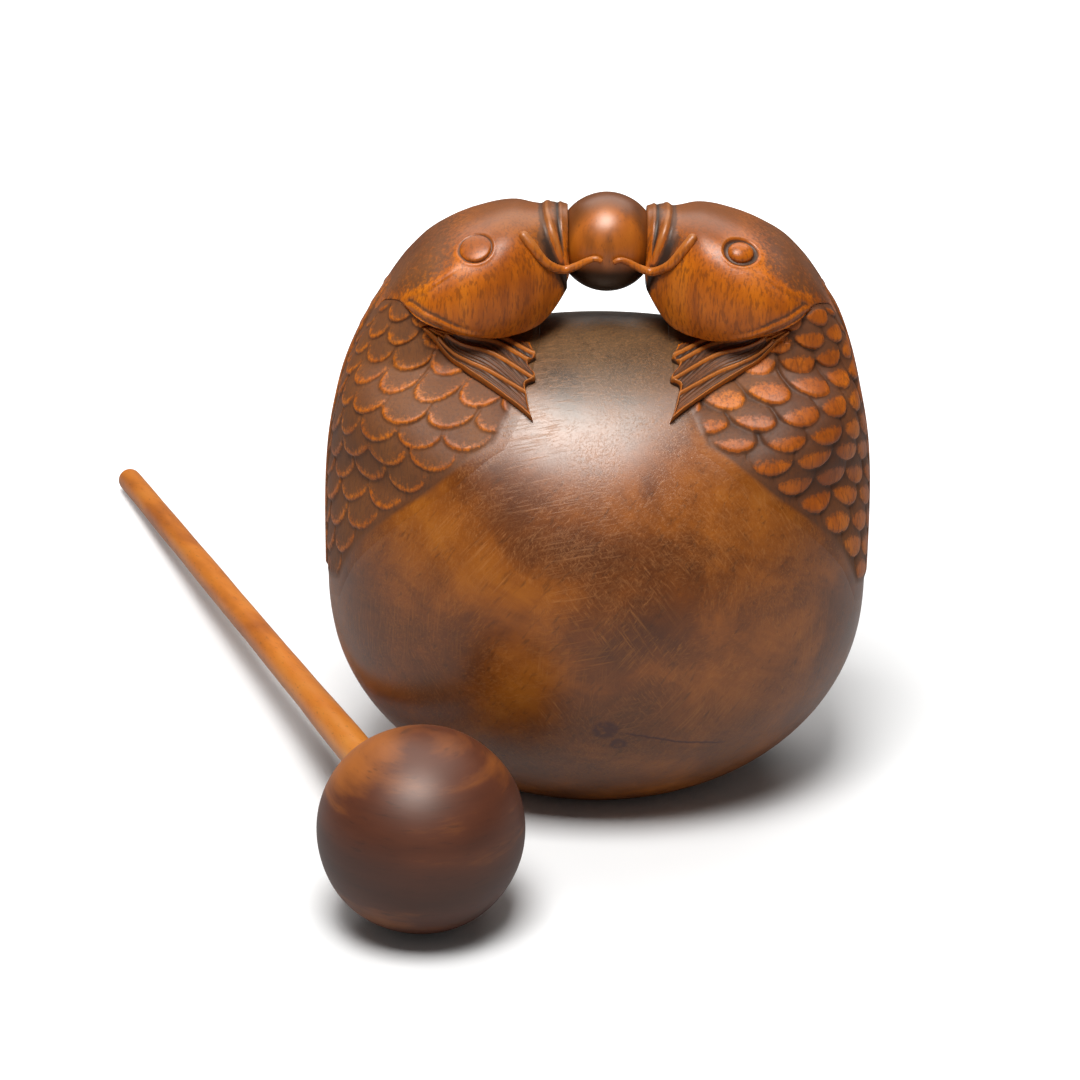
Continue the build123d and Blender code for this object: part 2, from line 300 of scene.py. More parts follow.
def wander(points, reach, seed):
    """Soft unevenness between about -1 and 1, over so many millimetres."""
    rng = np.random.default_rng(seed)
    waves = 9
    total = np.zeros(points.shape[:-1])
    for _ in range(waves):
        direction = rng.normal(size=3)
        direction *= 2 * math.pi / reach / np.linalg.norm(direction) * rng.uniform(0.6, 1.5)
        total += np.sin(points @ direction + rng.uniform(0, 2 * math.pi))
    return total / math.sqrt(2 * waves)


def grid_faces(rows, columns, wrap=False):
    index = np.arange(rows * columns).reshape(rows, columns)
    if wrap:
        index = np.column_stack([index, index[:, 0]])
    corners = [index[:-1, :-1], index[:-1, 1:], index[1:, 1:], index[1:, :-1]]
    return np.stack(corners, -1).reshape(-1, 4)


def unit(vectors):
    return vectors / np.maximum(np.linalg.norm(vectors, axis=-1, keepdims=True), 1e-9)


def turns(count):
    """Angles once round."""
    return np.linspace(0, 2 * math.pi, count, endpoint=False)


def normals_of(grid, inside=(0, 0, 80)):
    """The normals of a grid of points, turned away from a place inside."""
    along, across = np.gradient(grid, axis=(0, 1))
    normal = unit(np.cross(across, along))
    return normal * np.sign(((grid - inside) * normal).sum())


def slab(outer, inner, wear_and_shading, carved):
    """A closed shell between two grids."""
    rows, columns, _ = outer.shape
    count = rows * columns
    index = np.arange(count).reshape(rows, columns)
    rim = np.concatenate([index[0], index[1:, -1], index[-1, -2::-1], index[-2:0:-1, 0]])
    after = np.roll(rim, -1)
    sides = np.stack([rim, rim + count, after + count, after], -1)
    front = grid_faces(rows, columns)
    faces = np.concatenate([front, front[:, ::-1] + count, sides])
    points = np.concatenate([outer.reshape(-1, 3), inner.reshape(-1, 3)])
    wear_and_shading, carved = (np.append(np.broadcast_to(v, index.shape), np.zeros(count)) for v in (wear_and_shading, carved))
    return points, faces.tolist(), wear_and_shading, carved


def tube(rings, wear_and_shading=0.0, carved=0.0):
    """A closed form through rings of points, with a flat face at each end."""
    rows, columns, _ = rings.shape
    faces = grid_faces(rows, columns, wrap=True).tolist()
    faces.append(list(range(columns))[::-1])
    faces.append(list(range((rows - 1) * columns, rows * columns)))
    wear_and_shading, carved = (np.broadcast_to(v, (rows, columns)).ravel() for v in (wear_and_shading, carved))
    return rings.reshape(-1, 3), faces, wear_and_shading, carved


def outward(points, faces):
    """The faces of a closed shape, turned outwards."""
    quads = np.array([face for face in faces if len(face) == 4])
    a, b, c, d = (points[corner] for corner in quads.T)
    volume = (a * (np.cross(b, c) + np.cross(c, d))).sum()
    return faces if volume > 0 else [face[::-1] for face in faces]


def add_object(name, data):
    made = bpy.data.objects.new(name, data)
    bpy.context.scene.collection.objects.link(made)
    return made


def make_object(name, shapes, material):
    """One object from closed shapes, with the worn places, painted light and shade, and carving stored
    on its points.
    """
    first, faces = 0, []
    for some_points, some_faces, *_ in shapes:
        faces += [[first + corner for corner in face] for face in outward(some_points, some_faces)]
        first += len(some_points)
    points, _, wear_and_shading, carved = zip(*shapes)
    points = np.concatenate(points)
    points[:, 0] += lean * smooth(ridge_height - 20, ridge_height + 10, points[:, 2])
    mesh = bpy.data.meshes.new(name)
    mesh.from_pydata((points * MM).tolist(), [], faces)
    for key, values in (("wear_and_shading", wear_and_shading), ("carved", carved)):
        stored = mesh.attributes.new(key, "FLOAT", "POINT")
        stored.data.foreach_set("value", np.concatenate(values).astype(np.float32))
    mesh.shade_smooth()
    mesh.materials.append(material)
    return add_object(name, mesh)


def cut(target, tool):
    """Takes one object out of another."""
    modifier = target.modifiers.new("cut", "BOOLEAN")
    modifier.operation = "DIFFERENCE"
    modifier.solver = "EXACT"
    modifier.object = tool
    view = bpy.context.evaluated_depsgraph_get()
    target.data = bpy.data.meshes.new_from_object(target.evaluated_get(view))
    target.modifiers.clear()
    bpy.data.objects.remove(tool)


# Form of the drum

def lower_share(height):
    return np.sqrt(1 - (np.maximum(belly_height - height, 0) / belly_span) ** belly_fullness)


def half_width(height):
    """Half the drum's width at a height."""
    above = np.clip((height - belly_height) / flank_rise, 0, 1)
    upper_share = np.sqrt(1 - above**flank_fullness)
    return half_drum * np.where(height < belly_height, lower_share(height), upper_share)


def half_depth(height):
    """Half the drum's depth at a height."""
    above = np.clip((height - belly_height) / slope_rise, 0, 1)
    upper_share = (1 - above**2) ** slope_fullness
    return half_drum_depth * np.where(height < belly_height, lower_share(height), upper_share)


def flank_reach(height):
    """Half the width over the fish at a height."""
    above = np.clip((height - belly_height) / shoulder_rise, 0, 1)
    shoulder = half_drum * np.sqrt(1 - above**shoulder_fullness)
    return half_width(height) + (shoulder - half_width(height)) * smooth(*shoulder_heights, height)


def outline_height(reach):
    """The height of the outline over the fish at a distance from the middle."""
    return belly_height + shoulder_rise * (1 - (reach / half_drum) ** 2) ** (1 / shoulder_fullness)


def form_depth(reach, height, widest, deepest, filled):
    """Half the depth of the form: an ellipse, filled out to a squarer one away from the middle."""
    power = 2 + (nape_squareness - 2) * smooth(shoulder_start, shoulder_full, height)
    full = deepest * (1 - np.clip(reach / widest, 0, 1) ** power) ** (1 / power)
    share = np.clip(reach / np.maximum(half_width(height), 1), 0, 1)
    bare = half_depth(height) * np.sqrt(1 - share**2)
    return bare + (full - bare) * smooth(fill_start, fill_full, reach) * filled


def flank_depth(reach, height):
    """Half the depth of a fish's flank, which eases out of the drum's form into the nape."""
    middle = (half_depth(height) + nape_half_depth) / 2
    apart = (half_depth(height) - nape_half_depth) / 2
    deepest = middle + np.hypot(apart, nape_easing * smooth(*nape_heights, height))
    return form_depth(reach, height, flank_reach(height), deepest, 1.0)


def belly_depth(reach, height):
    """Half the depth of the sound box, which has the flank's form up to where the fish cover it."""
    filled = 1 - smooth(*bare_heights, height)
    return form_depth(reach, height, half_width(height), half_depth(height), filled)


def quarter(levels, widest, depth_at, inner, columns):
    """A quarter of the form in level rows: points from its outline inwards, and their way along it."""
    drop = np.linspace(0, 1, 1500)
    points = np.zeros((len(levels), columns, 3))
    along = np.zeros((len(levels), columns))
    for row, height in enumerate(levels):
        reach = widest(height) * (1 - drop**3)
        depth = depth_at(reach, height)
        depth[0] = 0
        run = np.concatenate([[0], np.cumsum(np.hypot(np.diff(reach), np.diff(depth)))])
        end = np.interp(-inner, -reach, run)
        along[row] = np.linspace(0, end, columns)
        points[row, :, 0] = np.interp(along[row], run, reach)
        points[row, :, 1] = np.interp(along[row], run, depth)
        points[row, :, 2] = height
    return points, along


def hand_finish(points):
    """The slight unevenness of a form that was finished by hand."""
    swell = 1 + hand_unevenness * wander(np.abs(points), 55, 3) / half_drum
    return points * np.stack([swell, swell, np.ones_like(swell)], -1)


# Where the scales are

def row_at(along, height):
    """The row of scales at a place, counted downwards. Lower rows hang down towards the back ridge."""
    droop = row_droop * np.clip(1 - along / droop_reach, 0, 1) * (1 - smooth(*droop_heights, height))
    rise = row_rise * (narrow_from - along) * smooth(*rise_heights, height)
    below = row_height + rise - height - droop
    stretch = np.where(below < 0, upper_stretch, row_stretch)
    away = (np.sqrt(row_pitch**2 + 4 * stretch * np.abs(below)) - row_pitch) / (2 * stretch)
    return np.sign(below) * away


def column_at(along, height):
    """The distance from the back ridge, stretched where the scales get narrower."""
    nearer = np.maximum(narrow_from - along, 0)
    return along - narrow_rate * nearer**2 * smooth(*narrow_heights, height)


def inside_scales(along, reach, height):
    """How far inside the scaled field a place lies, in millimetres."""
    row = row_at(along, height)
    towards_belly = (scale_edge + scale_edge_step * row + edge_slack - along) * edge_lean
    towards_tail = (last_row - row) * row_pitch
    towards_fin = reach - cut_reach - cut_slope * np.maximum(cut_height - height, 0)
    return np.minimum(np.minimum(towards_belly, towards_tail), towards_fin)


# Sound box

def belly_shell():
    """The outside of the sound box, sunk a little where a carved fish covers it."""
    rows, columns = 190, 78
    top = belly_height + (1 - 1e-7) * slope_rise
    levels = top * (1 - np.cos(np.linspace(0, math.pi, rows))) / 2
    points, along = quarter(levels, half_width, belly_depth, 0, columns)
    reach, height = points[..., 0], points[..., 2].copy()
    points = hand_finish(points)
    wide, wide_along = quarter(levels, flank_reach, flank_depth, 0, 4 * columns)
    for row in range(rows):
        along[row] = np.interp(-reach[row], -wide[row, :, 0], wide_along[row])
    sink = seat_sink * smooth(-2.5, 0.5, inside_scales(along, reach, height)) * smooth(58, 66, height)
    points = points - unit(points * [1, 1, 0]) * sink[..., None]
    drop = (np.minimum(reach, 1.5 * crown_reach) / crown_reach) ** 2
    points[..., 2] -= ridge_crown * drop * smooth(118, top, height)
    back = points[:, ::-1]
    quarters = points * [1, -1, 1], back * [-1, -1, 1], points * [-1, 1, 1], back
    return tube(np.concatenate([part[:, :-1] for part in quarters], 1))


def chamber_shell():
    level = np.linspace(wall, ridge_height - wall, 48)[:, None]
    turn = turns(96)[None, :]
    across = (half_width(level) - wall) * np.sin(turn)
    deep = (half_depth(level) - wall) * np.cos(turn)
    return tube(np.stack([across, deep, level + 0 * turn], -1))


def slit_shell():
    ring = square * [2 * half_drum, slit_width / 2, 0]
    return tube(np.stack([ring - [0, 0, wall], ring + [0, 0, slit_end_height]]))


def bore_shell():
    """The slit's round ends, as one bar from side to side."""
    turn = turns(48)
    ring = slit_end_bore / 2 * np.stack([0 * turn, np.cos(turn), np.sin(turn)], -1)
    ring = ring + [0, 0, slit_end_height]
    side = np.array([2 * half_drum, 0, 0])
    return tube(np.stack([ring - side, ring + side]))


def sound_box(material):
    body = make_object("sound_box_belly", [belly_shell()], material)
    for name, shape in (("chamber", chamber_shell()), ("slit", slit_shell()), ("bore", bore_shell())):
        cut(body, make_object(name, [shape], material))
    body.data.shade_smooth()
    body.data.set_sharp_from_angle(angle=math.radians(35))
    return body


# Fish

def scales(along, height, dome, seed):
    """How far the scales stand out, and their worn and dull places, with painted light and shade on the
    domes. Each lies over the one below it.
    """
    rng = np.random.default_rng(seed)
    relief = np.zeros(along.shape)
    tone = np.full(along.shape, ground_tone)
    row = row_at(along, height)
    place = column_at(along, height)
    for number in range(9, -8, -1):
        stagger = scale_pitch / 2 if number % 2 else 0
        first = float(through(column_rows, column_places, number)) + stagger
        for column in range(-5, 6):
            middle = first + column * scale_pitch
            shift, sink, lift, twist = rng.uniform(-1, 1, 4)
            if middle > scale_edge + scale_edge_step * number + 3:
                continue
            across = place - middle - 0.4 * shift
            up = number + 0.05 * sink - row + 0.012 * twist * across
            half = scale_half_width * (1 + 0.04 * lift)
            low = np.clip(scale_arc - up, 0, None) / scale_arc
            rounding = np.where(up > scale_arc, np.abs(across) / half, np.hypot(across / half, low))
            inside = (rounding < 1) & (up < 2.8)
            edge = (1 - rounding) * half
            plate = scale_tip + 0.1 * lift - scale_slope * np.clip(up, 0, 2.2)
            swell = 1 - (across / 6) ** 2 - ((up - 0.62) / 0.75) ** 2
            rim = bump(edge, 0.7, 0.7)
            shaped = plate + (1 - dome) * scale_rim * rim + dome * scale_dome * smooth(-0.4, 1.0, swell)
            shaped = shaped - scale_step * (1 - smooth(0, 0.7, edge))
            low_part = 1 - smooth(0.8, 1.4, up)
            lighter = rim_tone * bump(edge, 0.25, 0.45) + edge_tone * bump(edge, 0.3, 2.2)
            flat_tone = lighter * low_part + plate_tone
            # a domed scale: painted light on its lower part, painted shade on its upper part
            lit = 1 - (across / 7.5) ** 2 - ((up - 0.1) / 0.7) ** 2
            dome_tone = dome_painted_light * smooth(-0.9, 0.9, lit) + dome_painted_shade
            dome_tone = dome_tone - belly_side_dark * smooth(30, 58, along)
            relief = np.where(inside, shaped, relief)
            tone = np.where(inside, (1 - dome) * flat_tone + dome * dome_tone, tone)
    return relief, tone


def nape_line(reach):
    return through(gill_reach, gill_height, reach)


def over_ridge(front, back):
    """Both faces of a fish on one grid, from the back face over its ridge to the front."""
    return np.concatenate([back[:, ::-1], front[:, 1:]], 1)


def flank(side, dome, seed):
    """The scaled flank of one fish on both faces of the drum, as one shell over the shoulder."""
    levels = np.concatenate([np.arange(150, 112, -0.25), np.arange(112, 50, -0.33)])
    base, along = quarter(levels, flank_reach, flank_depth, flank_inside, 236)
    reach, height = base[..., 0], base[..., 2]
    base = hand_finish(base)
    inside = inside_scales(along, reach, height)
    below_nape = nape_line(reach) - height
    fade = smooth(-0.8, 1.8, inside) * (1 - (1 - smooth(0.0, 1.5, below_nape)) * smooth(49, 52, reach))
    taper = smooth(ridge_start - ridge_taper, ridge_start - 2, height)
    ridge_edge = along - ridge_half_width * (1 - 0.85 * taper)
    ridge = (1 - smooth(-0.4, 0.3, ridge_edge)) * smooth(-0.3, 0.3, height - tail_height)
    outside = np.maximum(-inside - margin, 0)
    back = ridge * (1 - smooth(ridge_start - 9, ridge_start, height))
    hidden = margin_sink * outside**2 + 0.5 * smooth(2.5, 4.5, outside)
    buried = seat_sink * smooth(0.0, -1.2, below_nape) * (1 - back) + np.minimum(hidden, seat_sink)
    ridge_top = ridge_relief * (1 - 0.8 * taper)
    on_ridge = ridge_tone + (nape_ridge_tone - ridge_tone) * smooth(132, 140, height)
    reliefs, tones = [], []
    for face in (-1, 1):
        relief, tone = scales(along, height, dome, seed + face)
        relief = margin_rise + (relief - margin_rise) * fade
        reliefs.append(relief + (ridge_top - relief) * np.where(ridge > 0.02, ridge, 0))
        tones.append((tone * fade + ground_tone * (1 - fade)) * (1 - ridge) + on_ridge * ridge)
    relief = blurred(over_ridge(*reliefs), 0.7)
    # lighter on rims and crests, darker in hollows and under each scale's edge: worn crests, and painted
    # shade in the hollows
    wear_and_shading = 0.25 * (relief - blurred(relief, 4)) + blurred(over_ridge(*tones), 0.7)
    base = over_ridge(base * [-1, -1, 1], base * [-1, 1, 1])
    normal = normals_of(base)
    outer = base + normal * (relief - over_ridge(buried, buried))[..., None]
    inner = base - normal * flank_thickness
    flip = np.array([-side, 1, 1])
    carved = 2 * smooth(-1.5, 1.5, over_ridge(inside, inside))
    return slab(outer * flip, inner * flip, wear_and_shading, carved)


def fin(side, face):
    """A breast fin that spreads from under the gill, with sharp rays and three tips."""
    rows, columns = 130, 170
    across = np.linspace(0, 1, rows)[:, None]
    length = 1 - through(fin_front, fin_gap, across)
    out = np.linspace(0, 1, columns)[None, :] * length
    knots = np.linspace(0, 1, len(fin_edges))
    low_reach, low_height, top_reach, top_height = (through(knots, v, out) for v in zip(*fin_edges))
    wide = np.hypot(top_reach - low_reach, top_height - low_height)
    reach = low_reach + (top_reach - low_reach) * across
    height = low_height + (top_height - low_height) * across
    base = hand_finish(np.stack([-reach, -flank_depth(reach, height), height], -1))
    normal = normals_of(base)
    spread = smooth(0.4, 1.0, out)
    ridge = np.zeros(out.shape)
    for root, tip in fin_rays:
        away = np.abs(across - root - (tip - root) * spread) * wide
        ridge = np.maximum(ridge, 0.6 * bump(away, 0, ray_half_width) + 0.4 * np.exp(-away / 1.1))
    to_tip = (length - out) * fin_length
    ridge = np.maximum(ridge, bump(to_tip, 0.8, ray_half_width) * (1 - smooth(0.58, 0.66, across)))
    to_edge = np.minimum(across, 1 - across) * wide
    plateau = smooth(0, 0.5, np.minimum(to_edge, to_tip) + 0.1)
    furrows = 0.08 * np.sin(across * wide * 9 + 2 * np.sin(out * 7)) * (1 - smooth(0.3, 0.6, ridge))
    relief = (fin_relief - 0.5 * across + ray_relief * ridge + furrows) * plateau - 0.4 * (1 - plateau)
    # lighter on the rays and darker in the channels: worn ray crests with a painted highlight, and
    # painted shade in the channels
    wear_and_shading = 0.7 * (relief - blurred(relief, 4)) + smooth(0.4, 0.95, ridge) * plateau + fin_tone
    wear_and_shading += 0.2 * smooth(0.65, 0.9, out) * (1 - smooth(0.2, 0.32, across))
    outer = base + normal * relief[..., None]
    inner = base - normal * fin_thickness
    flip = np.array([-side, -face, 1])
    return slab(outer * flip, inner * flip, wear_and_shading, 1.0)


def head_size(reach):
    """Top, bottom and half depth of the head at a distance from the middle."""
    top, low, depth = (through(head_reach, v, reach) for v in (head_top, head_low, head_depth))
    back = smooth(47, 53, reach)
    return top + (outline_height(reach) - top) * back, low, depth


def cheek(reach, height):
    """Half the depth of the head at a place. Towards the nape it runs into the flank."""
    top, low, depth = head_size(reach)
    share = np.clip(np.abs(height - (top + low) / 2) / ((top - low) / 2), 0, 1)
    plain = depth * (1 - share**head_squareness) ** (1 / head_squareness)
    return plain + (flank_depth(reach, height) + 0.12 - plain) * smooth(46, 55, reach)


def eye_place():
    return np.array([eye_reach, float(cheek(eye_reach, eye_height)), eye_height])


def head_relief(place, edge, eye):
    """Carving on the cheek: gill rim, nape crease, lip folds, eye ring. Also its darker parts: a darker
    nape, and painted shade in the lip folds and beside the barbel.
    """
    reach, height = place[..., 0], place[..., 2]
    back = smooth(29, 44, reach) * (1 - smooth(50, 53, reach))
    rim_at = 0.7 + 1.3 * back
    relief = 0.35 * back * bump(edge, rim_at, 0.6) - 0.2 * back * (1 - smooth(0, rim_at, edge))
    relief -= 0.22 * back * bump(edge, rim_at + 1.3, 0.6)
    crease = height - crease_height - (crease_reach - reach) * crease_slope
    along_crease = smooth(37, 42, reach) * (1 - smooth(52, 54, reach))
    relief += 0.25 * (smooth(-0.8, 0, crease) - smooth(0, 2.5, crease)) * along_crease
    fold = reach - mouth_reach - 0.4 * (height - 149)
    lips = 1 - smooth(15, 19, reach)
    relief += 0.7 * bump(fold, 0.8, 1.0) * lips - 0.35 * bump(fold, 2.5, 0.6) * lips
    relief -= 0.6 * bump(fold, 3.9, 1.3) * smooth(146, 151, height) * (1 - smooth(155, 159, height))
    thin = reach - mouth_reach - 0.13 * (height - 150)
    relief += 0.3 * bump(thin, 0.5, 0.4) - 0.3 * bump(thin, 1.3, 0.35)
    away = place - eye_place()
    ring = np.hypot(away[..., 0], eye["stretch"] * np.hypot(away[..., 1], away[..., 2]))
    inner, outer = eye["inner"], eye["outer"]
    groove = smooth(inner - 0.4, inner, ring) - smooth(outer - 0.2, outer + 0.3, ring)
    relief += 0.12 * bump(ring, outer + 0.5, 0.4) - eye["depth"] * groove
    tone = nape_tone * smooth(-1.5, 4, crease) * smooth(31, 46, reach)
    # painted shade in the lip folds and in the hollow beside the barbel
    tone -= 0.3 * lips * (bump(fold, 3.2, 1.2) + bump(thin, 1.3, 0.5))
    tone -= 0.14 * bump(fold, 6.0, 2.2) * smooth(147, 151, height) * (1 - smooth(156, 160, height))
    return relief, tone


def head(side, drop, eye):
    """The helmet of one fish: a lofted form whose cheeks end in an undercut gill edge."""
    reach = np.arange(mouth_reach, nape_reach, 0.3)[:, None]
    angle = turns(520)[None, :]
    top, low, _ = head_size(reach)
    power = 2 / head_squareness
    height = (top + low) / 2 + (top - low) / 2 * np.sign(np.cos(angle)) * np.abs(np.cos(angle)) ** power
    reach = np.broadcast_to(reach, height.shape)
    edge_height = nape_line(reach)
    edge_out = np.maximum(cheek(reach, edge_height), 0.3)
    facing = np.where(np.sin(angle) < 0, -1, 1)
    under = height < edge_height
    inward = np.abs(np.sin(angle)) ** power
    out = np.where(under, edge_out * inward, cheek(reach, height))
    height = np.where(under, edge_height - gill_undercut * (1 - inward), height)
    out = out * facing
    for _ in range(2):
        out = (np.roll(out, 1, 1) + 2 * out + np.roll(out, -1, 1)) / 4
        height = (np.roll(height, 1, 1) + 2 * height + np.roll(height, -1, 1)) / 4
    rings = np.stack([-reach, out, height], -1)
    closed = np.concatenate([rings[:, -1:], rings, rings[:, :1]], 1)
    normal = normals_of(closed, (-35, 0, 140))[:, 1:-1]
    edge = np.hypot(height - edge_height, np.abs(out) - edge_out)
    place = np.stack([reach, np.abs(out), height], -1)
    relief, tone = head_relief(place, edge, eye)
    relief = blurred(np.where(under, 0, relief), 0.7)
    # lighter on raised rims, darker in grooves: worn rims, and painted shade in the grooves
    wear_and_shading = relief - blurred(relief, 4) + tone
    # a thin lighter line along the gill edge: painted highlight
    wear_and_shading += 0.1 * bump(edge, 0, 0.5) * (~under) * (1 - smooth(48, 52, reach))
    rings = rings + normal * relief[..., None]
    rings = rings * [-side, 1, 1] - np.array([0, 0, drop]) * (1 - smooth(40, 52, reach))[..., None]
    return tube(rings, wear_and_shading, 1.0)


def barbel(side, face, drop):
    """A tapering whisker with a rounded root and a curled tip."""
    knots = np.linspace(0, 1, len(barbel_points))
    share = np.linspace(0, 1, 120)
    path = np.stack([through(knots, v, share) for v in zip(*barbel_points)], -1)
    path = path * [side, -face, 1] - [0, 0, drop]
    ahead = unit(np.gradient(path, axis=0))
    aside = unit(np.cross(ahead, [0, 0, 1.0]))
    above = np.cross(aside, ahead)
    root = np.clip(1 - share / 0.04, 0, 1)
    tip = np.clip((share - 0.97) / 0.03, 0, 1)
    radius = barbel_radius * (1 - 0.55 * share) * np.sqrt(np.clip(1 - root**2 - tip**2, 0.02, 1))
    turn = turns(24)[None, :, None]
    circle = aside[:, None] * np.cos(turn) + above[:, None] * np.sin(turn)
    rings = path[:, None] + radius[:, None, None] * circle
    # lighter on top and darker underneath: painted light and painted shade
    wear_and_shading = 0.12 + 0.25 * np.sin(turn[..., 0])
    return tube(rings, wear_and_shading, 1.0)


def fish(name, side, dome, drop, eye, seed, material):
    shapes = [flank(side, dome, seed), head(side, drop, eye)]
    for face in (-1, 1):
        shapes.append(fin(side, face))
        shapes.append(barbel(side, face, drop))
    return make_object(name, shapes, material)


def eye_dome(side, face, drop, eye):
    """A domed eye set into the cheek."""
    place = eye_place()
    step = 0.5
    up = cheek(eye_reach, eye_height + step) - cheek(eye_reach, eye_height - step)
    outwards = cheek(eye_reach + step, eye_height) - cheek(eye_reach - step, eye_height)
    normal = unit(np.array([-side * outwards, face, -up], float))
    across = unit(np.cross([0, 0, 1.0], normal))
    above = np.cross(normal, across)
    closing = np.linspace(1, 0.02, 24)
    share = np.concatenate([[1.0, 1.0], closing])
    level = np.concatenate([[-3.0, -1.0], eye["rise"] * np.sqrt(1 - closing**2) - eye["sunk"]])
    turn = turns(64)[None, :, None]
    circle = across * np.cos(turn) + above * np.sin(turn) / eye["stretch"]
    rings = eye["dome"] * share[:, None, None] * circle
    rings = place * [side, face, 1] - [0, 0, drop] + rings + level[:, None, None] * normal
    wear_and_shading = (0.16 * (1 - share) - 0.03)[:, None]
    return tube(rings, wear_and_shading, 1.0)


# Turned pieces

def ball(centre, radius, unevenness, seed):
    tilt = np.linspace(0.004, math.pi - 0.004, 120)[:, None]
    turn = turns(180)[None, :]
    out, level = np.sin(tilt), np.cos(tilt)
    rings = np.stack([out * np.cos(turn), out * np.sin(turn), level + 0 * turn], -1)
    swell = 1 + unevenness * wander(rings * radius, radius, seed) / radius
    return tube(centre + radius * rings * swell[..., None])


def stick(start, end, seed):
    """A whittled round stick, thickest at the ball, with a rounded end."""
    length = np.linalg.norm(end - start)
    ahead = (end - start) / length
    aside = unit(np.cross(ahead, [0, 0, 1.0]))
    above = np.cross(aside, ahead)
    rounded = length - stick_rounding
    end_turn = np.linspace(0.1, 1.5, 14)
    place = np.concatenate([np.linspace(8, rounded, 200), rounded + stick_rounding * np.sin(end_turn)])
    radius = through([*stick_places, length], [*stick_radii, stick_end_radius], place)
    closing = np.clip((place - rounded) / stick_rounding, 0, 0.9975)
    radius = radius * np.sqrt(1 - closing**2)
    turn = turns(48)[None, :, None]
    spread = radius[:, None, None] * (aside * np.cos(turn) + above * np.sin(turn))
    rings = start + place[:, None, None] * ahead + spread
    rings = rings + spread * 0.02 * wander(rings, 30, seed)[..., None]
    return tube(rings)


# Materials

class Nodes:
    """A material's nodes, written as short calls."""

    def __init__(self, name):
        self.material = bpy.data.materials.new(name)
        self.material.use_nodes = True
        self.tree = self.material.node_tree
        self.shader = self.tree.nodes["Principled BSDF"]
        self.place = self.add("TexCoord").outputs["Object"]

    def add(self, kind, inputs=None, **settings):
        node = self.tree.nodes.new("ShaderNode" + kind)
        for key, value in settings.items():
            setattr(node, key, value)
        self.feed(node, inputs or {})
        return node

    def feed(self, node, inputs):
        """Links sockets to a node's inputs and sets the values that are constant."""
        for key, value in inputs.items():
            if isinstance(value, bpy.types.NodeSocket):
                self.tree.links.new(value, node.inputs[key])
            else:
                node.inputs[key].default_value = value

    def stretch(self, scale, turn=(0, 0, 0)):
        """The place, turned and then stretched."""
        angles = [math.radians(t) for t in turn]
        inputs = {"Vector": self.place, "Scale": [1 / s for s in scale], "Rotation": angles}
        return self.add("Mapping", inputs, vector_type="TEXTURE").outputs["Vector"]

    def noise(self, vector, scale=1.0, detail=4.0, roughness=0.55, twist=0.0):
        inputs = {"Vector": vector, "Scale": scale, "Detail": detail}
        inputs |= {"Roughness": roughness, "Distortion": twist}
        return self.add("TexNoise", inputs).outputs["Fac"]

    def math(self, operation, a, b=0.0):
        return self.add("Math", {0: a, 1: b}, operation=operation).outputs[0]

    def total(self, *terms):
        """A weighted sum of values."""
        result = 0.0
        for value, weight in terms:
            node = self.add("Math", {0: value, 1: weight, 2: result}, operation="MULTIPLY_ADD")
            result = node.outputs[0]
        return result

    def span(self, value, low, high, to_low=0.0, to_high=1.0):
        inputs = {"Value": value, "From Min": low, "From Max": high, "To Min": to_low, "To Max": to_high}
        return self.add("MapRange", inputs, interpolation_type="SMOOTHSTEP").outputs["Result"]

    def ramp(self, value, colours, places=None):
        node = self.add("ValToRGB", {"Fac": value})
        elements = node.color_ramp.elements
        while len(elements) < len(colours):
            elements.new(0.5)
        places = places or np.linspace(0, 1, len(colours)).tolist()
        for element, place, colour in zip(elements, places, colours):
            element.position = place
            element.color = (*colour, 1)
        return node.outputs["Color"]

    def mix(self, share, a, b):
        a, b = (c if isinstance(c, bpy.types.NodeSocket) else (*c, 1) for c in (a, b))
        return self.add("Mix", {"Factor": share, "A": a, "B": b}, data_type="RGBA").outputs["Result"]

    def near(self, centre, size):
        """1 at a place in the drum's frame, falling to 0 at so many millimetres from it."""
        location, scale = ([v * MM for v in values] for values in (centre, size))
        inputs = {"Vector": self.place, "Location": location, "Scale": scale}
        share = self.add("Mapping", inputs, vector_type="TEXTURE").outputs["Vector"]
        return self.span(self.length(share), 1.0, 0.0)

    def length(self, vector):
        return self.add("VectorMath", {0: vector}, operation="LENGTH").outputs["Value"]

    def axis(self, name):
        return self.add("SeparateXYZ", {"Vector": self.place}).outputs[name]


def grain_of(n, stretch, turn=(0, 0, 0)):
    """Fibres, growth bands, soft clouds and pores of a piece of wood."""
    fibres = n.noise(n.stretch(stretch, turn), detail=6, roughness=0.65)
    bands = n.noise(n.stretch([s * 0.22 for s in stretch], turn), detail=3, twist=0.6)
    clouds = n.noise(n.place, scale=26, detail=3)
    pores = n.noise(n.stretch([s * 5 for s in stretch], turn), detail=2, roughness=0.7)
    return fibres, bands, clouds, pores


# Lighter and darker places of the belly: centre and size in millimetres, and how much lighter
belly_patches = [
    ((-44, -43, 84), (24, 40, 26), 0.18),
    ((-24, -54, 74), (24, 30, 14), 0.1),
    ((-19, -57, 46), (17, 30, 22), 0.14),
    ((38, -45, 88), (26, 40, 26), 0.13),
    ((36, -52, 48), (34, 40, 26), 0.15),
    ((0, 50, 55), (60, 60, 40), 0.1),
    ((2, -56, 84), (36, 30, 9), -0.13),
    ((-42, -48, 44), (15, 30, 24), -0.16),
    ((8, -58, 66), (26, 30, 17), -0.18),
    ((66, -28, 62), (20, 40, 50), -0.06),
    ((-66, -28, 62), (18, 40, 40), -0.05),
]


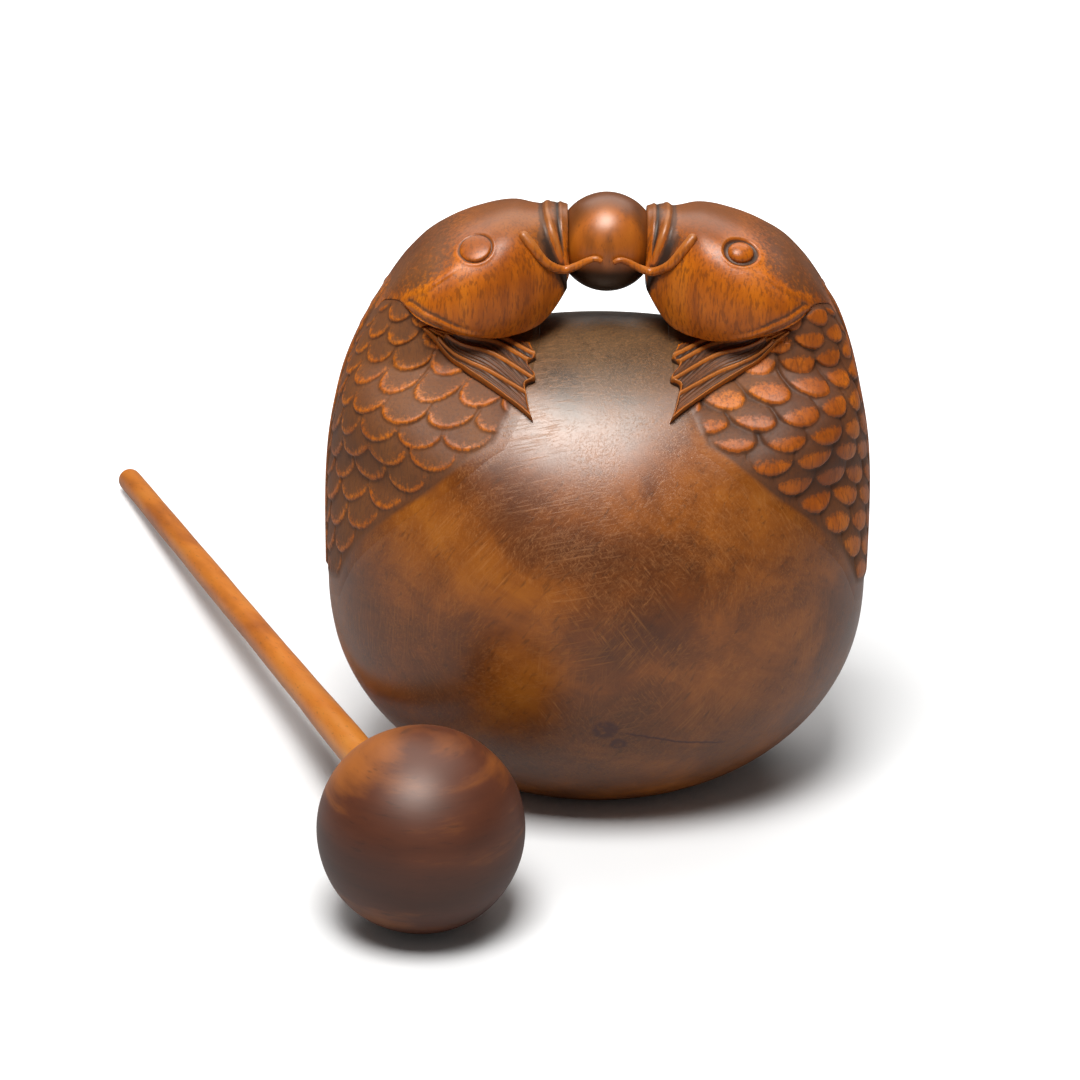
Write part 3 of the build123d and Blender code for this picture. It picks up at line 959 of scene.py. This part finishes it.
def scrapes(n):
    """Fine scrapes in several directions, each direction in its own areas."""
    result = 0.0
    for number, turn in enumerate((40, -35, 5, 78)):
        lines = n.noise(n.stretch((1900, 1900, 55), (0, turn, 0)), detail=3, roughness=0.75)
        area = n.noise(n.stretch((45, 45, 45), (0, 0, 40 * number)), detail=2)
        here = n.math("MULTIPLY", n.span(lines, 0.48, 0.72), n.span(area, 0.38, 0.6))
        result = n.math("MAXIMUM", result, here)
    return result


def finish(n, colour, roughness, height, relief, specular=0.8):
    """Oiled wood: colour, uneven gloss and fine relief."""
    uneven = n.add("Bump", {"Height": height, "Strength": relief, "Distance": bump_depth * MM})
    n.feed(n.shader, {
        "Base Color": colour,
        "Roughness": roughness,
        "Specular IOR Level": specular,
        "Specular Tint": specular_tint,
        "Normal": uneven.outputs["Normal"],
    })
    return n.material


def plain_wood(name, colours, stretch, roughness, turn=(0, 0, 0), light=None, underside_shade=None, rim=None):
    """Wood with grain, and where given a lighter place, painted shade blackening the underside, or a
    darkened rim.
    """
    n = Nodes(name)
    deep = colours[0]
    fibres, bands, clouds, pores = grain_of(n, stretch, turn)
    terms = [(bands, 0.5), (clouds, 0.3), (fibres, 0.2)]
    if light:
        terms.append((n.near(*light), 0.22))
    tone = n.total(*terms)
    colour = n.ramp(n.span(tone, 0.34, 0.68), colours)
    # painted shade: the underside blackened below a height
    if underside_shade:
        shade_share = n.span(n.axis("Z"), underside_shade[0] * MM, underside_shade[1] * MM, 0, 0.97)
        colour = n.mix(shade_share, colour, [d * 0.1 for d in deep])
    if rim:
        colour = n.mix(n.span(n.near(*rim), 0.16, 0.0, 0, 0.75), colour, deep)
    colour = n.mix(n.span(pores, 0.58, 0.76, 0, 0.45), colour, [d * 0.4 for d in deep])
    gloss = n.total((clouds, 0.16), (1.0, roughness - 0.08))
    return finish(n, colour, gloss, n.total((fibres, 0.5), (pores, 0.5)), 0.25)


def belly_colour(n):
    """Mottled orange-brown, with darker bands, a grey-brown top and scrapes all over."""
    fibres, bands, clouds, pores = grain_of(n, (150, 150, 30), (0, 40, 0))
    mottle = n.noise(n.stretch((34, 34, 60), (0, 25, 0)), detail=6, roughness=0.66, twist=0.5)
    terms = [(mottle, 0.65), (bands, 0.35), (fibres, 0.3)]
    for centre, size, weight in belly_patches:
        terms.append((n.near(centre, size), weight))
    tone = n.total(*terms)
    colour = n.ramp(n.span(tone, 0.3, 1.0), belly_tones, belly_places)
    uneven = n.span(n.total((mottle, 1.0), (clouds, 0.5)), 0.4, 0.8, 1.15, 0.7)
    top = n.math("MULTIPLY", n.near((0, -10, 142), (75, 110, 62)), uneven)
    grey = n.ramp(n.span(mottle, 0.3, 0.7), belly_top_tones)
    colour = n.mix(n.span(top, 0.12, 0.55), colour, grey)
    marks = scrapes(n)
    colour = n.mix(n.math("MULTIPLY", marks, 0.34), colour, scrape_colour)
    colour = n.mix(n.span(pores, 0.56, 0.76, 0, 0.4), colour, pore_colour)
    return colour, clouds, marks


def belly_material(name):
    """The belly's wood, with a knot of two spots low on the front and a crack that runs from it."""
    n = Nodes(name)
    colour, clouds, marks = belly_colour(n)
    spot = n.near((2.0, -57.2, 36.2), (5.6, 10, 4.4))
    small_spot = n.near((5.4, -55.6, 31.4), (3.6, 10, 2.8))
    wobble = n.math("MULTIPLY", n.noise(n.place, scale=160, detail=3), 0.003)
    height = n.math("SUBTRACT", n.axis("Z"), wobble)
    line = n.math("ABSOLUTE", n.total((n.axis("X"), 0.27), (height, 1.0), (1.0, -0.0352)))
    front = n.near((20, -52, 31), (20, 14, 13))
    crack = n.math("MULTIPLY", n.span(line, 0.0006, 0.0, 0, 0.9), n.span(front, 0.02, 0.25))
    fibrous = n.span(n.noise(n.place, scale=420, detail=3), 0.25, 0.55)
    knot = n.math("MULTIPLY", n.span(n.math("MAXIMUM", spot, small_spot), 0.08, 0.55), fibrous)
    colour = n.mix(n.math("MULTIPLY", knot, 0.85), colour, knot_colour)
    colour = n.mix(crack, colour, crack_colour)
    gloss = n.total((clouds, 0.14), (marks, 0.16), (1.0, 0.25))
    return finish(n, colour, gloss, n.total((marks, 0.6), (crack, -1.0)), 0.22)


def fish_material(name):
    """The carving's wood: darker where dull or dirty and with painted shade in the recesses, brighter
    where worn and where highlights are painted, with plain belly round it.
    """
    n = Nodes(name)
    plain, clouds, marks = belly_colour(n)
    fibres, bands, _, pores = grain_of(n, (420, 420, 70))
    flecks = n.noise(n.stretch((1500, 1500, 260)), detail=2, roughness=0.6)
    tone = n.total((bands, 0.4), (clouds, 0.35), (fibres, 0.25))
    colour = n.ramp(n.span(tone, 0.36, 0.66), carving_tones)
    colour = n.mix(n.span(flecks, 0.48, 0.64, 0, 0.6), colour, fleck_colour)
    crown = n.span(n.total((n.axis("Z"), 1.0), (clouds, 0.008)), 0.156, 0.166, 0, 0.8)
    colour = n.mix(crown, colour, head_top_colour)
    wear_and_shading = n.add("Attribute", attribute_name="wear_and_shading").outputs["Fac"]
    speckle = n.noise(n.place, scale=900, detail=3, roughness=0.7)
    patchy = n.total((n.span(speckle, 0.3, 0.7), 0.1), (wear_and_shading, 1.0), (1.0, -0.05))
    # worn places and painted highlights; dull places, dirt and painted shade
    worn_and_lit = n.span(patchy, 0.07, 0.5, 0, 0.75)
    dulled_and_shaded = n.span(patchy, -0.02, -0.16, 0, 0.85)
    grime_and_shade = n.span(patchy, -0.2, -0.55, 0, 0.9)
    colour = n.mix(dulled_and_shaded, colour, n.ramp(n.span(clouds, 0.35, 0.65), dulled_and_shaded_tones))
    colour = n.mix(worn_and_lit, colour, worn_and_lit_colour)
    colour = n.mix(grime_and_shade, colour, grime_and_shade_colour)
    carved = n.add("Attribute", attribute_name="carved").outputs["Fac"]
    colour = n.mix(carved, plain, colour)
    rough = n.math("MULTIPLY", n.math("MAXIMUM", dulled_and_shaded, grime_and_shade), n.span(carved, 0.0, 1.0))
    scaly = n.span(carved, 1.0, 2.0)
    gloss = n.total((clouds, 0.14), (marks, 0.1), (rough, 0.16), (scaly, 0.14), (1.0, 0.26))
    flaky = n.math("MULTIPLY", speckle, scaly)
    relief = n.total((fibres, 0.3), (pores, 0.3), (flaky, 1.2), (marks, 0.25))
    return finish(n, colour, gloss, relief, 0.35, 0.5)


# Stage

def add_camera():
    data = bpy.data.cameras.new("camera")
    data.lens = camera_lens
    data.sensor_width = camera_sensor
    camera = add_object("camera", data)
    place = Matrix.Translation([c * MM for c in camera_place])
    tilt = Matrix.Rotation(math.radians(camera_tilt), 4, "X")
    roll = Matrix.Rotation(math.radians(camera_roll), 4, "Z")
    camera.matrix_world = place @ tilt @ roll
    bpy.context.scene.camera = camera


def add_lamp(name, place, aim, size, power):
    data = bpy.data.lights.new(name, "AREA")
    data.shape = "RECTANGLE"
    data.size, data.size_y = size
    data.energy = power
    lamp = add_object(name, data)
    lamp.location = place
    lamp.rotation_euler = (Vector(aim) - lamp.location).to_track_quat("-Z", "Y").to_euler()


def add_world():
    """White to the camera, and a weak light from all sides."""
    world = bpy.data.worlds.new("studio")
    world.use_nodes = True
    nodes, links = world.node_tree.nodes, world.node_tree.links
    ambient, white = nodes["Background"], nodes.new("ShaderNodeBackground")
    ambient.inputs["Strength"].default_value = ambient_light
    for light in (ambient, white):
        light.inputs["Color"].default_value = (1, 1, 1, 1)
    path = nodes.new("ShaderNodeLightPath")
    mix = nodes.new("ShaderNodeMixShader")
    links.new(path.outputs["Is Camera Ray"], mix.inputs["Fac"])
    links.new(ambient.outputs[0], mix.inputs[1])
    links.new(white.outputs[0], mix.inputs[2])
    links.new(mix.outputs[0], nodes["World Output"].inputs["Surface"])
    bpy.context.scene.world = world


def add_floor():
    """A pale table top, white to the camera away from the shadows."""
    n = Nodes("table")
    to_camera = n.add("LightPath").outputs["Is Camera Ray"]
    distance = n.length(n.place)
    glow = n.total((n.span(distance, 0.1, 0.5), 0.8), (n.span(distance, 0.5, 1.2), 0.2))
    n.feed(n.shader, {
        "Base Color": n.mix(to_camera, table_bounce, table_colour),
        "Roughness": 0.95,
        "Specular IOR Level": 0.1,
        "Emission Color": (1, 1, 1, 1),
        "Emission Strength": n.math("MULTIPLY", to_camera, glow),
    })
    mesh = bpy.data.meshes.new("table")
    mesh.from_pydata((table_half_width * square).tolist(), [], [(0, 1, 2, 3)])
    mesh.materials.append(n.material)
    table = add_object("table", mesh)


# Build

belly_wood = belly_material("belly_wood")
fish_wood = fish_material("fish_wood")
# The pearl's lower part is blackened: painted shade under the mouths and barbels
pearl_wood = plain_wood(
    "pearl_wood", pearl_colours, (300, 300, 60), 0.38,
    underside_shade=(149.5, 145.5), rim=((lean, 0, 150.5), (12.5, 100, 15)),
)
mallet_wood = plain_wood(
    "mallet_wood", mallet_colours, (30, 30, 220), 0.5,
    light=((-70, -90, 58), (30, 40, 34)),
)
stick_wood = plain_wood("stick_wood", stick_colours, (300, 60, 300), 0.42, (0, 0, 30))
dowel_wood = plain_wood("dowel_wood", dowel_colours, (40, 300, 300), 0.6)

drum = sound_box(belly_wood)
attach(drum, "drum")
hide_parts("sound_box")

for name, side, dome, drop, eye, seed in (
    ("left_fish", -1, 0.1, 0.0, left_eye, 11),
    ("right_fish", 1, 0.9, right_drop, right_eye, 23),
):
    carved = fish(name + "_carving", side, dome, drop, eye, seed, fish_wood)
    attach(carved, "drum")
    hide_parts(name)

domes = [eye_dome(-1, face, 0.0, left_eye) for face in (-1, 1)]
domes += [eye_dome(1, face, right_drop, right_eye) for face in (-1, 1)]
eyes = make_object("fish_eye_domes", domes, fish_wood)
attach(eyes, "drum")
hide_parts("fish_eyes")

pearl_low, pearl_high = (np.array(corner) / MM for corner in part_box("pearl"))
pearl_radius = (pearl_high[2] - pearl_low[2]) / 2
pearl = make_object("pearl_ball", [ball((pearl_low + pearl_high) / 2, pearl_radius, 0.1, 5)], pearl_wood)
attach(pearl, "drum")
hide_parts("pearl")

ball_low, ball_high = (np.array(corner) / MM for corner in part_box("mallet_head"))
ball_centre = (ball_low + ball_high) / 2
mallet_ball = make_object(
    "mallet_ball", [ball(ball_centre, (ball_high[2] - ball_low[2]) / 2, 0.12, 7)], mallet_wood
)
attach(mallet_ball, "mallet")
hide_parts("mallet_head")

stick_points = np.array([v.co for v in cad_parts["mallet_stick"].data.vertices]) / MM
distance = np.linalg.norm(stick_points - ball_centre, axis=1)
stick_end = stick_points[distance > distance.max() - 0.5].mean(0)
handle = make_object("mallet_handle", [stick(ball_centre, stick_end, 9)], stick_wood)
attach(handle, "mallet")
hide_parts("mallet_stick")

dowel_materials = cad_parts["fish_dowels"].data.materials
dowel_materials.clear()
dowel_materials.append(dowel_wood)

add_camera()
add_world()
add_floor()
add_lamp("softbox", **softbox)
add_lamp("back_light", **back_light)

bpy.context.scene.view_settings.view_transform = "Standard"
